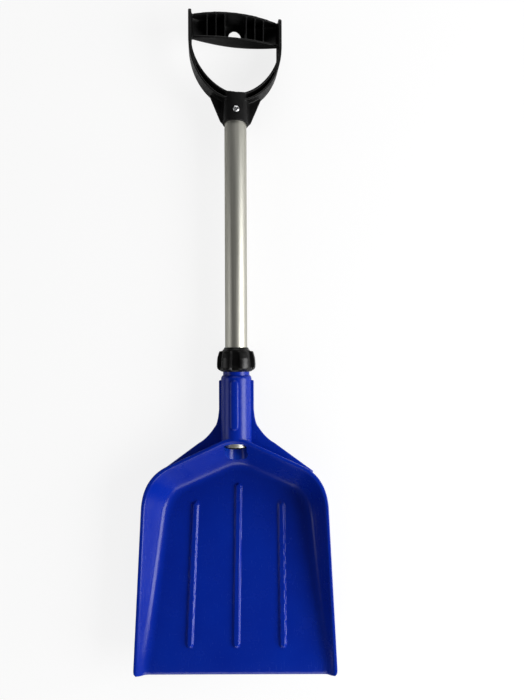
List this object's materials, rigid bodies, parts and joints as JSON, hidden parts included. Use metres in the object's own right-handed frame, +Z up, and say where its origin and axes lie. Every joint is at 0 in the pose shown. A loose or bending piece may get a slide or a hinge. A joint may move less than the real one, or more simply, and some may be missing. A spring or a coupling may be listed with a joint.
{
  "type": "camp shovel",
  "caption": "Moulded scoop shovel on a telescoping tube shaft held by a clamp nut, with a D-grip that has a trough-shaped crossbar; for snow, sand or ash.",
  "frame": {"origin": "middle of the bounding box's underside, the level that the scoop's heel rests on when the shovel lies on its back", "axes": "+Y along the shaft from the scoop's mouth to the grip, +X across the scoop, +Z up out of the scoop's open side"},
  "size_m": [0.255, 0.828, 0.0491],
  "materials": {
    "scoop_blue": "glossy moulded polypropylene with fine handling scuffs",
    "nut_black": "satin moulded plastic",
    "ring_pale": "natural unpainted plastic",
    "plug_black": "matt moulded plastic",
    "tube_aluminium": "satin anodised, drawn along its length",
    "grip_black": "satin moulded plastic with a fine grain",
    "screw_steel": "bright zinc plated"
  },
  "bodies": {
    "scoop": {"scoop": "scoop_blue"},
    "clamp_ring": {"clamp_ring": "ring_pale"},
    "clamp_nut": {"clamp_nut": "nut_black"},
    "end_plug": {"end_plug": "plug_black"},
    "shaft": {"shaft_tube": "tube_aluminium", "grip": "grip_black", "grip_screw": "screw_steel"}
  },
  "joints": [
    {"name": "ring_slide", "type": "slide", "parent": "scoop", "child": "clamp_ring", "axis": [0, 1, 0], "range_m": [0, 0.006]},
    {"name": "nut_turn", "type": "hinge", "parent": "clamp_ring", "child": "clamp_nut", "pos_m": [0, -0.0207, 0.02501], "axis": [0, 1, 0], "range_deg": [0, 540]},
    {"name": "shaft_slide", "type": "slide", "parent": "scoop", "child": "end_plug", "axis": [0, 1, 0], "range_m": [-0.065, 0.06]},
    {"name": "shaft_turn", "type": "hinge", "parent": "end_plug", "child": "shaft", "pos_m": [0, 0.1, 0.02501], "axis": [0, 1, 0], "continuous": true}
  ],
  "couplings": [
    {"joint": "ring_slide", "follows": "nut_turn", "m_per_rad": 0.00063661}
  ]
}
